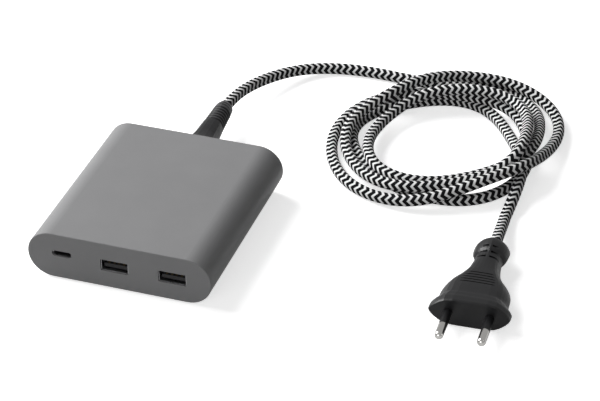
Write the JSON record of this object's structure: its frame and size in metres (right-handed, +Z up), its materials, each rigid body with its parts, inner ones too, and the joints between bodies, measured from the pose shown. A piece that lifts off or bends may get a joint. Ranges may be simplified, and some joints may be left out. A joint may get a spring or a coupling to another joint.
{
  "type": "desktop phone charging station",
  "caption": "Flat desktop charging station with rounded sides, charging sockets in its front and a braided mains cord, coiled beside it, that ends in a round-pin plug.",
  "frame": {"origin": "middle of the housing's underside, on the surface that its feet stand on", "axes": "+Z up, +X to the right and +Y from the socket face to the back, where the cord leaves"},
  "size_m": [0.2167, 0.2221, 0.0238],
  "materials": {
    "housing_plastic": "satin grey, finely textured",
    "foot_rubber": "matte",
    "insulation_card": "smooth card",
    "aluminium_sheet": "mill finish",
    "pad_rubber": "soft and matte",
    "board_green": "solder mask",
    "black_plastic": "matte",
    "socket_steel": "plated sheet",
    "contact_metal": "gold plated",
    "ferrite": "sintered, matte",
    "tan_plastic": "matte",
    "winding_tape": "polyester tape",
    "blue_sleeve": "shrink sleeve",
    "can_aluminium": "satin can",
    "yellow_plastic": "matte",
    "copper_wire": "enamelled wire",
    "fuse_ceramic": "ceramic tube with plated caps",
    "blue_coating": "dipped coating",
    "white_plastic": "matte",
    "wire_insulation": "smooth",
    "black_rubber": "satin, moulded",
    "cord_braid": "black and white zigzag braid",
    "pin_nickel": "nickel plated"
  },
  "bodies": {
    "root": {"housing_shell": "housing_plastic", "rear_cover": "housing_plastic", "rubber_feet": "foot_rubber", "insulation_sheet": "insulation_card", "heat_spreader": "aluminium_sheet", "thermal_pad": "pad_rubber", "main_board": "board_green", "usb_c_board": "board_green", "usb_c_stand": "black_plastic", "usb_c_shell": "socket_steel", "usb_c_tongue": "black_plastic", "usb_a_left_shell": "socket_steel", "usb_a_left_tongue": "black_plastic", "usb_a_left_contacts": "contact_metal", "usb_a_right_shell": "socket_steel", "usb_a_right_tongue": "black_plastic", "usb_a_right_contacts": "contact_metal", "transformer_core": "ferrite", "transformer_bobbin": "tan_plastic", "transformer_winding": "winding_tape", "bulk_capacitors": "blue_sleeve", "output_capacitors": "can_aluminium", "filter_capacitor": "yellow_plastic", "choke_core": "ferrite", "choke_windings": "copper_wire", "fuse": "fuse_ceramic", "bridge_rectifier": "black_plastic", "heat_sink": "aluminium_sheet", "power_transistor": "black_plastic", "varistor": "blue_coating", "control_chips": "black_plastic", "mains_terminal": "white_plastic", "mains_wires": "wire_insulation", "strain_relief": "black_rubber", "cord_lead": "cord_braid", "cord_coil": "cord_braid", "cord_tail": "cord_braid", "plug_body": "black_rubber", "plug_pin_left": "pin_nickel", "plug_pin_right": "pin_nickel", "plug_sleeve_left": "black_plastic", "plug_sleeve_right": "black_plastic"}
  },
  "joints": []
}
